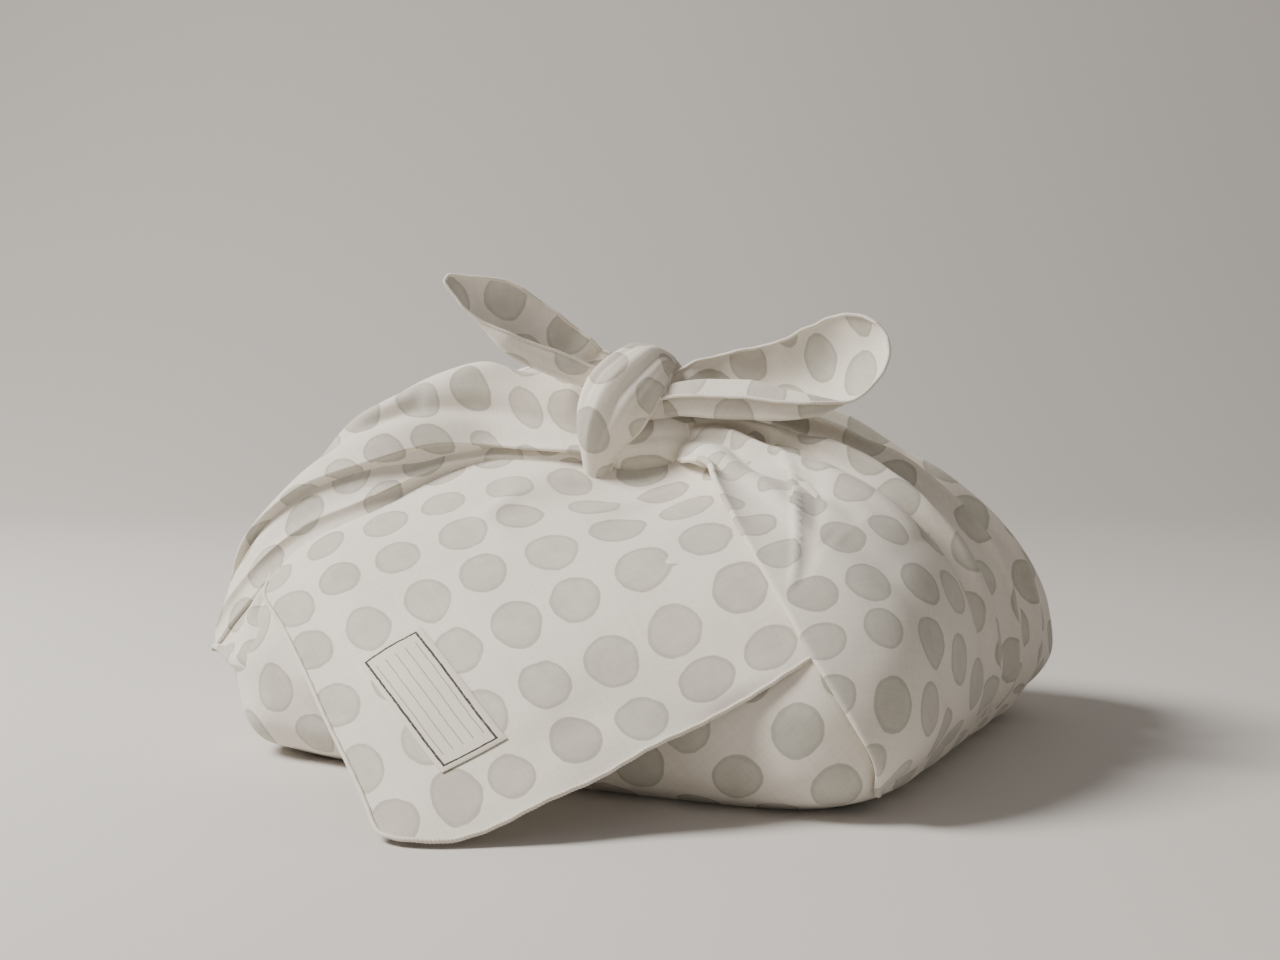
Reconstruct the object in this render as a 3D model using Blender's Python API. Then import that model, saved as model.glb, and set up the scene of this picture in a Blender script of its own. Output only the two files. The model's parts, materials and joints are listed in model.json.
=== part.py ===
"""A furoshiki wrap: a square of thin cotton folded round a soft bundle and tied on top, with its sewn label.

The cloth is one closed solid. A filled core carries the layers that lie on it: the corner flap that comes
over the top and reaches the surface in front, the two gathered ends, their knot and its two free ends.
Lengths in the tables are in millimetres. +X runs along the tied ends, -Y is the front, +Z is up, and the
origin is on the surface that the bundle stands on, at the middle of its footprint.
"""

import math
from collections import namedtuple

import bmesh
import bpy
import numpy as np

MM = 0.001
CLOTH = 2.0  # thickness of a free layer of cloth
LABEL_CLOTH = 1.0
LABEL_GAP = 0.45
LABEL_LENGTH = 73.0
LABEL_WIDTH = 27.0
LABEL_UP = 73.5  # from the flap's tip to the label's middle, along the left hem
LABEL_OVER = 38.0  # from the left hem to the label's middle
LABEL_TURN = math.radians(8)  # it is sewn on a little askew
MIDDLE = np.array((2.0, 0.0, 45.0))  # of the bundle
FLAP_GAP = 1.8  # from the core to the flap's outer face
FLAP_SINK = 4.0  # how much deeper the flap reaches where it lies on the core
FLAP_LEAVES = 3.0  # over how much clearance it thins to a free layer
FAN_GAP = 3.6  # from the core to the outer face of a gathered end
TROUGH = 2.4  # how much nearer than FAN_GAP a trough between two folds may come
END_TUCK = 6.0  # how far a gathered end's outermost row goes back into the core

# The core's outline at each height, as how far it reaches from the axis.
AXIS = np.array((2.0, 0.0))
Level = namedtuple("Level", "height left right front back squareness")
LEVELS = (
    Level(0, 116, 120, 108, 104, 7.0),
    Level(6, 127, 131, 118, 113, 8.0),
    Level(16, 134, 137, 122, 118, 8.0),
    Level(32, 140, 141, 122, 122, 7.0),
    Level(48, 142, 140, 118, 121, 6.0),
    Level(62, 141, 137, 110, 117, 5.0),
    Level(76, 138, 131, 98, 110, 4.2),
    Level(88, 132, 122, 83, 100, 3.6),
    Level(99, 122, 111, 64, 86, 3.0),
    Level(109, 107, 97, 44, 68, 2.6),
    Level(118, 84, 78, 24, 47, 2.3),
    Level(125, 54, 54, 11, 27, 2.1),
    Level(129, 4, 4, 3, 4, 2.0),
)
BELLY = 32.0  # above this height the core only draws in

# A gathered end: its front edge, its ridge and its back edge, from the knot outwards.
Gather = namedtuple("Gather", "fx fy fz rx ry rz bx by bz")
RIDGE_AT = 0.3  # where the ridge runs, from the front edge to the back edge
END_SPREAD = 1.35  # above 1, a gathered end's grid is finer towards its front edge
LEFT_END = (
    Gather(-2, -38, 114, -2, -22, 137, -2, -4, 135),
    Gather(-24, -42, 111.5, -28, -22, 147, -24, 10, 131),
    Gather(-49, -43, 109.5, -52, -27, 149, -48, 30, 126),
    Gather(-69, -55, 102.5, -75, -37, 144, -74, 50, 114),
    Gather(-87, -76, 90, -97, -47, 133, -98, 66, 99),
    Gather(-110, -87, 78, -119, -61, 112, -117, 80, 82),
    Gather(-127, -96, 62, -137, -75, 85, -130, 94, 60),
    Gather(-141, -98, 46, -148, -87, 57, -136, 106, 38),
    Gather(-150, -95, 33, -152, -82, 36, -136, 112, 20),
    Gather(-136, -91, 22, -137, -78, 14, -130, 108, 10),
)
RIGHT_END = (
    Gather(14, -36, 114, 12, -14, 136, 10, 2, 135),
    Gather(40, -40, 111, 36, 4, 136, 38, 20, 130),
    Gather(55, -58, 102, 56, 10, 133, 56, 38, 122),
    Gather(71, -76, 91.5, 78, 12, 124, 78, 58, 108),
    Gather(88, -93.5, 78, 98, 12, 110, 98, 76, 92),
    Gather(103, -105.5, 64, 114, 12, 96, 114, 90, 74),
    Gather(114, -112.5, 52, 128, 14, 78, 124, 102, 54),
    Gather(125, -115.5, 38, 137, 16, 56, 132, 110, 34),
    Gather(133, -111, 20, 141, 18, 36, 134, 113, 22),
    Gather(131, -103, 8, 134, 18, 10, 130, 109, 8),
)

# Folds run out from the knot along a gathered end. Rows count from the knot, width is a share of the end's.
Fold = namedtuple("Fold", "from_row to_row at_start at_end height width")
LEFT_FOLDS = (
    Fold(0.3, 7.5, 0.10, 0.10, -5.0, 0.035),
    Fold(0.3, 7.0, 0.04, 0.04, 2.0, 0.030),
    Fold(0.5, 6.0, 0.20, 0.18, -2.5, 0.035),
    Fold(0.5, 8.5, 0.50, 0.42, -4.5, 0.050),
    Fold(0.5, 8.5, 0.62, 0.55, 3.5, 0.050),
    Fold(1.0, 8.5, 0.80, 0.74, -3.5, 0.060),
)
RIGHT_FOLDS = (
    Fold(0.3, 4.5, 0.10, 0.10, -5.5, 0.050),
    Fold(1.0, 6.5, 0.22, 0.18, 2.5, 0.040),
    Fold(0.5, 8.5, 0.52, 0.46, -4.0, 0.045),
    Fold(0.5, 8.5, 0.64, 0.60, 3.5, 0.045),
    Fold(0.5, 8.5, 0.76, 0.74, -4.0, 0.045),
    Fold(2.0, 8.5, 0.36, 0.30, -2.0, 0.050),
)

# The corner flap. Each row runs along the cloth's weave from the left hem to under the right end. Between
# its two ends a row stands forward by bow and up by arch.
FlapRow = namedtuple("FlapRow", "from_tip hx hy hz ex ey ez bow arch")
FLAP_WIDTH = 185.0
CORNER_UP = 22.0  # the tip's rounding, along the left hem and along the lower hem
CORNER_OVER = 58.0
FLAP_SPREAD = 1.15  # above 1, the flap's grid is finer towards its tip
FLAP = (
    FlapRow(0, 10, -209, -7.5, 122, -83, 58, 3, 0),
    FlapRow(44, -20, -183, 12, 110, -70, 74, 11, -2),
    FlapRow(79, -45, -163.5, 26.5, 92, -50, 94, 13, 0),
    FlapRow(114, -70, -142.5, 40, 68, -30, 108, 9, 0),
    FlapRow(149, -96, -120, 52, 44, -10, 120, 3, 0),
    FlapRow(179, -119, -98, 62, 24, 4, 124, 0, 0),
    FlapRow(204, -117, -74, 64, 8, 14, 124, 0, 0),
)

# A strand of the knot, as elliptical sections along its path.
Strand = namedtuple("Strand", "x y z wide thick lean")
OVER_STRAND = (
    Strand(20, 4, 132, 22, 12, 0),
    Strand(17, -6, 147, 26, 13, 10),
    Strand(11, -18, 151, 29, 14, 20),
    Strand(4, -32, 141, 28, 15, 25),
    Strand(0, -40, 127, 23, 14, 25),
    Strand(-3, -43, 114, 16, 11, 20),
    Strand(-3, -38, 105, 9, 8, 10),
)
CROSS_STRAND = (
    Strand(34, 6, 118, 16, 12, 0),
    Strand(30, -20, 123, 20, 15, 0),
    Strand(17, -36, 120, 23, 16, 0),
    Strand(0, -38, 118, 22, 15, 0),
    Strand(-12, -24, 122, 20, 14, 0),
    Strand(-16, -4, 120, 16, 12, 0),
)
KNOT_HEART = ((5, -20, 130), (20, 16, 21))

# A free end: sections across it from the knot to its tip.
EndRow = namedtuple("EndRow", "x y z width heading rise cup")
LEFT_TIP = (
    EndRow(-2, -18, 146, 12, 0, 80, 1),
    EndRow(-18, -21, 152, 19, 10, 62, 3),
    EndRow(-33, -31, 162, 25, 20, 56, 5),
    EndRow(-44, -41, 170, 23, 20, 52, 4),
    EndRow(-54, -51, 178, 13, 20, 48, 2),
    EndRow(-60, -57, 182, 3, 20, 45, 0),
)
RIGHT_TIP = (
    EndRow(16, -26, 141, 14, 0, 85, 1),
    EndRow(34, -31, 145, 19, 20, 76, 5),
    EndRow(52, -32, 147, 26, 30, 72, 8),
    EndRow(70, -28, 151, 35, 35, 70, 9),
    EndRow(84, -23, 155, 38, 35, 68, 7),
    EndRow(93, -19, 157, 33, 35, 68, 4),
    EndRow(99, -16, 159, 19, 35, 68, 2),
)

AROUND_CORE = 64
STEPS_ALONG_END = 26
STEPS_ACROSS_END = 26
STEPS_FLAP = 22
STEPS_ALONG_LABEL = 20
STEPS_ACROSS_LABEL = 9
STEPS_ROUND_STRAND = 14
STEPS_ALONG_STRAND = 14
STEPS_ALONG_TIP = 14
STEPS_ACROSS_TIP = 6


def smooth(places, values, at):
    """A curve through a table's values that never overshoots between two of them."""
    places = np.asarray(places, float)
    values = np.asarray(values, float)
    steps = np.diff(places)
    slopes = np.diff(values) / steps
    tangents = np.empty_like(values)
    tangents[0] = slopes[0]
    tangents[-1] = slopes[-1]
    same_way = slopes[1:] * slopes[:-1] > 0
    mean = 2 * slopes[1:] * slopes[:-1] / np.where(same_way, slopes[1:] + slopes[:-1], 1)
    tangents[1:-1] = np.where(same_way, mean, 0)
    at = np.clip(at, places[0], places[-1])
    k = np.clip(np.searchsorted(places, at, side="right") - 1, 0, len(steps) - 1)
    t = (at - places[k]) / steps[k]
    start = (1 + 2 * t) * (1 - t) ** 2 * values[k]
    end = t * t * (3 - 2 * t) * values[k + 1]
    lean_out = t * (1 - t) ** 2 * steps[k] * tangents[k]
    lean_in = t * t * (t - 1) * steps[k] * tangents[k + 1]
    return start + end + lean_out + lean_in


def table_at(rows, places, at):
    """Every column of a table, smoothly between its rows."""
    columns = np.array(rows, float).T
    return np.stack([smooth(places, column, at) for column in columns], -1)


def core_radius(direction, height):
    """How far the core reaches from its axis in a direction, in radians, at a height."""
    columns = np.array(LEVELS, float).T
    left, right, front, back, squareness = (smooth(columns[0], column, height) for column in columns[1:])
    along = np.cos(direction)
    across = np.sin(direction)
    half_length = np.where(along > 0, right, left)
    half_depth = np.where(across > 0, back, front)
    sides = np.abs(along / half_length) ** squareness + np.abs(across / half_depth) ** squareness
    return sides ** (-1 / squareness)


def core_height(direction, distance):
    """The height of the core's upper surface over points at a distance from its axis."""
    heights = np.linspace(BELLY, LEVELS[-1].height, 60)
    found = np.zeros_like(distance)
    for low, high in zip(heights[:-1], heights[1:]):
        outer = core_radius(direction, low)
        inner = core_radius(direction, high)
        here = (distance <= outer) & (distance > inner)
        share = (outer - distance) / np.maximum(outer - inner, 1e-9)
        found = np.where(here, low + share * (high - low), found)
    inmost = core_radius(direction, heights[-1])
    return np.where(distance <= inmost, heights[-1], found)


def lifted(points, gap):
    """Points that lie within gap of the core, or inside it, moved out to that gap."""
    points = points.copy()
    for _ in range(3):
        offset = points[..., :2] - AXIS
        distance = np.hypot(offset[..., 0], offset[..., 1])
        direction = np.arctan2(offset[..., 1], offset[..., 0])
        height = np.clip(points[..., 2], 0, LEVELS[-1].height)
        side = core_radius(direction, height) + gap - distance
        above = core_height(direction, np.maximum(distance - gap, 0)) + gap - points[..., 2]
        inside = (side > 0) & (above > 0)
        side = np.where(inside, side, 1)
        above = np.where(inside, above, 1)
        flat = 1 / side
        upward = 1 / above
        push = inside / (flat**2 + upward**2)
        out = offset / np.maximum(distance, 1e-6)[..., None]
        points[..., :2] += out * (flat * push)[..., None]
        points[..., 2] += upward * push
    return points


def clearance(points):
    """How far points are outside the core, roughly."""
    offset = points[..., :2] - AXIS
    distance = np.hypot(offset[..., 0], offset[..., 1])
    direction = np.arctan2(offset[..., 1], offset[..., 0])
    height = np.clip(points[..., 2], 0, LEVELS[-1].height)
    side = distance - core_radius(direction, height)
    above = points[..., 2] - core_height(direction, distance)
    return np.maximum(side, 0) * np.maximum(above, 0) / np.maximum(np.hypot(side, above), 1e-6)


def relaxed(points, passes, gap):
    """A grid of points evened out between its edges, as cloth evens out, and kept off the core."""
    for _ in range(passes):
        inner = points[1:-1, 1:-1]
        around = points[:-2, 1:-1] + points[2:, 1:-1] + points[1:-1, :-2] + points[1:-1, 2:]
        points[1:-1, 1:-1] = 0.4 * inner + 0.15 * around
        points = lifted(points, gap)
    inner = points[1:-1, 1:-1]
    around = points[:-2, 1:-1] + points[2:, 1:-1] + points[1:-1, :-2] + points[1:-1, 2:]
    points[1:-1, 1:-1] = 0.4 * inner + 0.15 * around
    return points


def fold_heights(folds, row, across):
    """How far the folds move each point of a gathered end in or out."""
    height = np.zeros(np.broadcast(row, across).shape)
    for fold in folds:
        share = np.clip((row - fold.from_row) / (fold.to_row - fold.from_row), 0, 1)
        middle = fold.at_start + share * (fold.at_end - fold.at_start)
        fade = np.sin(math.pi * share) ** 0.6
        height += fold.height * fade * np.exp(-(((across - middle) / fold.width) ** 2))
    return height


def gather_points(rows, folds, steps_along, steps_across, gap):
    """A gathered end of the cloth: a grid from the knot outwards and from its front edge to its back edge."""
    along = np.linspace(0, len(rows) - 1, steps_along)
    row = table_at(rows, range(len(rows)), along)
    across = np.linspace(0, 1, steps_across) ** END_SPREAD
    lines = row.reshape(steps_along, 3, 3).transpose(1, 0, 2)
    points = smooth_lines((0, RIDGE_AT, 1), lines, across)
    last = np.clip((along - (len(rows) - 2)), 0, 1)[:, None]
    gap = gap - END_TUCK * last**2 + 0 * across[None, :]
    points = lifted(points, gap)
    out = points - MIDDLE
    out /= np.linalg.norm(out, axis=-1)[..., None]
    height = fold_heights(folds, along[:, None], across[None, :])
    return lifted(points + height[..., None] * out, gap - TROUGH)


def smooth_lines(places, lines, at):
    """A surface through three or more lines of points."""
    flat = lines.reshape(len(places), -1).T
    columns = [smooth(places, column, at) for column in flat]
    return np.stack(columns).reshape(*lines.shape[1:], len(at)).transpose(0, 2, 1)


def rounded_corner(up, over):
    """Places on the flap, drawn in near its tip so that the corner between the two hems is round."""
    a = up - CORNER_UP
    b = over - CORNER_OVER
    near = (a < 0) & (b < 0)
    square = np.maximum(np.abs(a) / CORNER_UP, np.abs(b) / CORNER_OVER)
    circle = np.maximum(np.hypot(a / CORNER_UP, b / CORNER_OVER), 1e-9)
    share = np.where(near, square / circle, 1)
    return CORNER_UP + a * share, CORNER_OVER + b * share


def flap_points(steps, gap):
    """The corner flap, on a grid along the cloth's own weave that starts at its tip."""
    length = FLAP[-1].from_tip
    spread = np.linspace(0, 1, steps) ** FLAP_SPREAD
    up, over = np.meshgrid(spread * length, spread * FLAP_WIDTH, indexing="ij")
    up, over = rounded_corner(up, over)
    places = [row.from_tip for row in FLAP]
    row = table_at(FLAP, places, up)
    share = over / FLAP_WIDTH
    hem = row[..., 1:4]
    far = row[..., 4:7]
    points = hem * (1 - share[..., None]) + far * share[..., None]
    points[..., 1] -= row[..., 7] * 4 * share * (1 - share)
    points[..., 2] += row[..., 8] * 4 * share * (1 - share)
    points[..., 2] = np.maximum(points[..., 2], CLOTH)
    return relaxed(lifted(points, gap), 6, gap)


def strand_points(rows, steps_along, steps_round):
    """Rings of an elliptical strand. Its width lies across the path, turned by lean from the horizontal."""
    along = np.linspace(0, len(rows) - 1, steps_along)
    row = table_at(rows, range(len(rows)), along)
    centre = row[:, 0:3]
    forward = np.gradient(centre, axis=0)
    forward /= np.linalg.norm(forward, axis=1)[:, None]
    side = np.cross(forward, (0.0, 0.45, 1.0))
    side /= np.linalg.norm(side, axis=1)[:, None]
    out = np.cross(side, forward)
    turn = np.radians(row[:, 5])[:, None]
    wide = side * np.cos(turn) + out * np.sin(turn)
    thick = out * np.cos(turn) - side * np.sin(turn)
    angle = np.linspace(0, 2 * math.pi, steps_round, endpoint=False)
    rings = centre[:, None, :] + 0.5 * row[:, 3, None, None] * wide[:, None, :] * np.cos(angle)[None, :, None]
    return rings + 0.5 * row[:, 4, None, None] * thick[:, None, :] * np.sin(angle)[None, :, None]


def tip_points(rows, steps_along, steps_across):
    """A free end as a cupped ribbon."""
    along = np.linspace(0, len(rows) - 1, steps_along)
    row = table_at(rows, range(len(rows)), along)
    heading = np.radians(row[:, 4])
    rise = np.radians(row[:, 5])
    across = np.stack(
        [np.cos(rise) * np.cos(heading), np.cos(rise) * np.sin(heading), np.sin(rise)], -1
    )
    forward = np.gradient(row[:, 0:3], axis=0)
    behind = np.cross(across, forward)
    behind /= np.linalg.norm(behind, axis=1)[:, None]
    behind *= np.where(behind[:, 1:2] < 0, -1, 1)
    share = np.linspace(-0.5, 0.5, steps_across)
    points = row[:, None, 0:3] + share[None, :, None] * row[:, 3, None, None] * across[:, None, :]
    cup = row[:, 6, None] * (1 - 4 * share[None, :] ** 2)
    return points + cup[..., None] * behind[:, None, :]


def grid_faces(mesh, verts, closed=False):
    """Quads between neighbouring rows of vertices."""
    for row, after in zip(verts[:-1], verts[1:]):
        count = len(row) if closed else len(row) - 1
        for k in range(count):
            j = (k + 1) % len(row)
            mesh.faces.new((row[k], row[j], after[j], after[k]))


def mesh_object(name, mesh, collection):
    data = bpy.data.meshes.new(name)
    bmesh.ops.recalc_face_normals(mesh, faces=mesh.faces)
    mesh.to_mesh(data)
    mesh.free()
    obj = bpy.data.objects.new(name, data)
    collection.objects.link(obj)
    return obj


def add_points(mesh, points):
    return [[mesh.verts.new(tuple(point * MM)) for point in row] for row in points]


def loft(name, rings, collection):
    """A closed solid through rings of points, with flat ends."""
    mesh = bmesh.new()
    verts = add_points(mesh, rings)
    grid_faces(mesh, verts, closed=True)
    mesh.faces.new(verts[0])
    mesh.faces.new(verts[-1])
    return mesh_object(name, mesh, collection)


def layer(name, outer, inner, collection):
    """A closed solid between the outer and inner faces of a layer of cloth."""
    mesh = bmesh.new()
    top = add_points(mesh, outer)
    bottom = add_points(mesh, inner)
    grid_faces(mesh, top)
    grid_faces(mesh, [row[::-1] for row in bottom])
    rim_top = edge_loop(top)
    rim_bottom = edge_loop(bottom)
    for k, vert in enumerate(rim_top):
        j = (k + 1) % len(rim_top)
        mesh.faces.new((vert, rim_top[j], rim_bottom[j], rim_bottom[k]))
    return mesh_object(name, mesh, collection)


def edge_loop(grid):
    """A grid's rim, in order."""
    right = [row[-1] for row in grid[1:-1]]
    left = [row[0] for row in grid[1:-1]]
    return grid[0] + right + grid[-1][::-1] + left[::-1]


def grid_normals(points):
    """Unit normals of a grid of points."""
    along = np.gradient(points, axis=0)
    across = np.gradient(points, axis=1)
    normals = np.cross(along, across)
    return normals / np.maximum(np.linalg.norm(normals, axis=-1), 1e-9)[..., None]


def outward(points, normals):
    """Normals of a layer, all turned to the side that faces away from the middle of the bundle."""
    facing = np.sum((points - MIDDLE) * normals)
    return normals * (-1 if facing < 0 else 1)


def core(collection):
    heights = [level.height for level in LEVELS]
    direction = np.linspace(0, 2 * math.pi, AROUND_CORE, endpoint=False)
    rings = []
    for height in heights:
        level = np.full_like(direction, height)
        radius = core_radius(direction, level)
        x = AXIS[0] + radius * np.cos(direction)
        y = AXIS[1] + radius * np.sin(direction)
        rings.append(np.stack([x, y, level], -1))
    return loft("core", rings, collection)


def gathered_end(name, rows, folds, collection):
    outer = gather_points(rows, folds, STEPS_ALONG_END, STEPS_ACROSS_END, FAN_GAP)
    mesh = bmesh.new()
    top = add_points(mesh, outer)
    grid_faces(mesh, top)
    rim = edge_loop(top)
    inmost = mesh.verts.new(tuple(MIDDLE * MM))
    for k, vert in enumerate(rim):
        mesh.faces.new((vert, rim[(k + 1) % len(rim)], inmost))
    return mesh_object(name, mesh, collection)


def flap(collection):
    outer = flap_points(STEPS_FLAP, FLAP_GAP)
    free = np.clip((clearance(outer) - FLAP_GAP - 0.5) / FLAP_LEAVES, 0, 1)
    depth = CLOTH + FLAP_SINK * (1 - free)
    inner = outer - depth[..., None] * outward(outer, grid_normals(outer))
    inner[..., 2] = np.maximum(inner[..., 2], 0)
    return layer("flap", outer, inner, collection)


def grid_at(grid, row, column):
    """Points of a grid between its rows and columns."""
    low = np.minimum(row.astype(int), grid.shape[0] - 2)
    left = np.minimum(column.astype(int), grid.shape[1] - 2)
    down = (row - low)[..., None]
    over = (column - left)[..., None]
    near = grid[low, left] * (1 - over) + grid[low, left + 1] * over
    far = grid[low + 1, left] * (1 - over) + grid[low + 1, left + 1] * over
    return near * (1 - down) + far * down


def label(collection):
    """The sewn label, a thin patch that follows the flap."""
    face = flap_points(STEPS_FLAP, FLAP_GAP)
    normals = outward(face, grid_normals(face))
    along = np.linspace(-0.5, 0.5, STEPS_ALONG_LABEL) * LABEL_LENGTH
    across = np.linspace(-0.5, 0.5, STEPS_ACROSS_LABEL) * LABEL_WIDTH
    along, across = np.meshgrid(along, across, indexing="ij")
    up = LABEL_UP + along * math.cos(LABEL_TURN) + across * math.sin(LABEL_TURN)
    over = LABEL_OVER - along * math.sin(LABEL_TURN) + across * math.cos(LABEL_TURN)
    row = (up / FLAP[-1].from_tip) ** (1 / FLAP_SPREAD) * (STEPS_FLAP - 1)
    column = (over / FLAP_WIDTH) ** (1 / FLAP_SPREAD) * (STEPS_FLAP - 1)
    under = grid_at(face, row, column)
    away = grid_at(normals, row, column)
    outer = under + (LABEL_GAP + LABEL_CLOTH) * away
    return layer("label", outer, under + LABEL_GAP * away, collection)


def free_end(name, rows, collection):
    front = tip_points(rows, STEPS_ALONG_TIP, STEPS_ACROSS_TIP)
    normals = grid_normals(front)
    normals *= np.where(normals[..., 1:2] < 0, -1, 1)
    return layer(name, front, front + CLOTH * normals, collection)


def strand(name, rows, collection):
    return loft(name, strand_points(rows, STEPS_ALONG_STRAND, STEPS_ROUND_STRAND), collection)


def knot_heart(collection):
    centre, radii = KNOT_HEART
    mesh = bmesh.new()
    bmesh.ops.create_uvsphere(mesh, u_segments=16, v_segments=10, radius=1)
    for vert in mesh.verts:
        vert.co = [(c + r * p) * MM for c, r, p in zip(centre, radii, vert.co)]
    return mesh_object("knot_heart", mesh, collection)


def joined(target, others):
    """Every other solid made one with the target."""
    for other in others:
        union = target.modifiers.new("join " + other.name, "BOOLEAN")
        union.operation = "UNION"
        union.object = other
        union.use_self = True
        other.hide_render = True
        other.display_type = "WIRE"


def material(name, colour, roughness):
    made = bpy.data.materials.new(name)
    made.use_nodes = True
    shader = made.node_tree.nodes["Principled BSDF"]
    shader.inputs["Base Color"].default_value = (*colour, 1)
    shader.inputs["Roughness"].default_value = roughness
    shader.inputs["Metallic"].default_value = 0
    return made


def build():
    for old in list(bpy.data.objects):
        bpy.data.objects.remove(old, do_unlink=True)
    parts = bpy.data.collections.new("furoshiki_wrap")
    tools = bpy.data.collections.new("joined_layers")
    bpy.context.scene.collection.children.link(parts)
    bpy.context.scene.collection.children.link(tools)

    cloth = core(parts)
    cloth.name = "cloth"
    cloth.data.materials.append(material("cotton", (0.74, 0.70, 0.64), 0.85))
    pieces = [
        flap(tools),
        gathered_end("left_end", LEFT_END, LEFT_FOLDS, tools),
        gathered_end("right_end", RIGHT_END, RIGHT_FOLDS, tools),
        knot_heart(tools),
        strand("over_strand", OVER_STRAND, tools),
        strand("cross_strand", CROSS_STRAND, tools),
        free_end("left_tip", LEFT_TIP, tools),
        free_end("right_tip", RIGHT_TIP, tools),
    ]
    joined(cloth, pieces)
    patch = label(parts)
    patch.data.materials.append(material("label_cloth", (0.80, 0.77, 0.68), 0.8))
    for made in (cloth, patch):
        for face in made.data.polygons:
            face.use_smooth = True


build()
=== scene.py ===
"""The furoshiki wrap dressed: thin dotted cotton folded round its bundle, its knot, its hem and its label."""

import json
import math
from collections import namedtuple

import bpy
import numpy as np
from mathutils import Matrix, Vector

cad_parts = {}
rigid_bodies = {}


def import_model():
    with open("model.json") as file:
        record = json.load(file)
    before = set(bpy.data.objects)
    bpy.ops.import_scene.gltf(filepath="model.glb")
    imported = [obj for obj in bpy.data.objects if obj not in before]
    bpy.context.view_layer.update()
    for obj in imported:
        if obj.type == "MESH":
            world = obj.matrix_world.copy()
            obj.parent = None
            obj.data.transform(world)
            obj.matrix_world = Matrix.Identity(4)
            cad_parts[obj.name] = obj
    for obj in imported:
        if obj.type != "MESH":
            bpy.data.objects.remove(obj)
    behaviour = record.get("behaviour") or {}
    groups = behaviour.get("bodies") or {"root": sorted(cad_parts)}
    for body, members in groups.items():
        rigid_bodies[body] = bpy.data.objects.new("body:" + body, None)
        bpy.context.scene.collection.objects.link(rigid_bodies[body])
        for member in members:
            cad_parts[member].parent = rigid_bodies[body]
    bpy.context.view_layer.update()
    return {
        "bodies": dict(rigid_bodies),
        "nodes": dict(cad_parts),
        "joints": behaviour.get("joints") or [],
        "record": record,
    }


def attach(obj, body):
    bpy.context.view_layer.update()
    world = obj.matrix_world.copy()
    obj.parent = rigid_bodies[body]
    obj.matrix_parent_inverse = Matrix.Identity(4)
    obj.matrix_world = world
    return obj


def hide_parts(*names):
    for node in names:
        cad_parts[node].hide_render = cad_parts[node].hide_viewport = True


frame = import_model()

# Lengths are in millimetres until they become a mesh.
MM = 0.001
DOT_PITCH = 23.5
EDGE_EASE = 1.25  # rows of points lie closer together towards a grid's first edge

AXIS = np.array((2.0, 0.0))
MIDDLE = np.array((2.0, 0.0, 45.0))
Level = namedtuple("Level", "height left right front back squareness")
LEVELS = (
    Level(0, 116, 120, 108, 104, 7.0),
    Level(6, 127, 131, 118, 113, 8.0),
    Level(16, 134, 137, 122, 118, 8.0),
    Level(32, 140, 141, 122, 122, 7.0),
    Level(48, 142, 140, 118, 121, 6.0),
    Level(62, 141, 137, 110, 117, 5.0),
    Level(76, 138, 131, 98, 110, 4.2),
    Level(88, 132, 122, 83, 100, 3.6),
    Level(99, 122, 111, 64, 86, 3.0),
    Level(109, 107, 97, 44, 68, 2.6),
    Level(118, 84, 78, 24, 47, 2.3),
    Level(125, 54, 54, 11, 27, 2.1),
    Level(129, 4, 4, 3, 4, 2.0),
)
BELLY = 32.0

Gather = namedtuple("Gather", "fx fy fz rx ry rz bx by bz")
RIDGE_AT = 0.3
LEFT_END = (
    Gather(-2, -38, 114, -2, -22, 137, -2, -4, 135),
    Gather(-24, -42, 111.5, -28, -22, 147, -24, 10, 131),
    Gather(-49, -43, 109.5, -52, -27, 149, -48, 30, 126),
    Gather(-69, -55, 102.5, -75, -37, 144, -74, 50, 114),
    Gather(-87, -76, 90, -97, -47, 133, -98, 66, 99),
    Gather(-110, -87, 78, -119, -61, 112, -117, 80, 82),
    Gather(-127, -96, 62, -137, -75, 85, -130, 94, 60),
    Gather(-141, -98, 46, -148, -87, 57, -136, 106, 38),
    Gather(-150, -95, 33, -152, -82, 36, -136, 112, 20),
    Gather(-136, -91, 22, -137, -78, 14, -130, 108, 10),
)
RIGHT_END = (
    Gather(14, -36, 114, 12, -14, 136, 10, 2, 135),
    Gather(40, -40, 111, 36, 4, 136, 38, 20, 130),
    Gather(55, -58, 102, 56, 10, 133, 56, 38, 122),
    Gather(71, -76, 91.5, 78, 12, 124, 78, 58, 108),
    Gather(88, -93.5, 78, 98, 12, 110, 98, 76, 92),
    Gather(103, -105.5, 64, 114, 12, 96, 114, 90, 74),
    Gather(114, -112.5, 52, 128, 14, 78, 124, 102, 54),
    Gather(125, -115.5, 38, 137, 16, 56, 132, 110, 34),
    Gather(133, -111, 20, 141, 18, 36, 134, 113, 22),
    Gather(131, -103, 8, 134, 18, 10, 130, 109, 8),
)
FAN_GAP = 3.6
END_TUCK = 6.0

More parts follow.
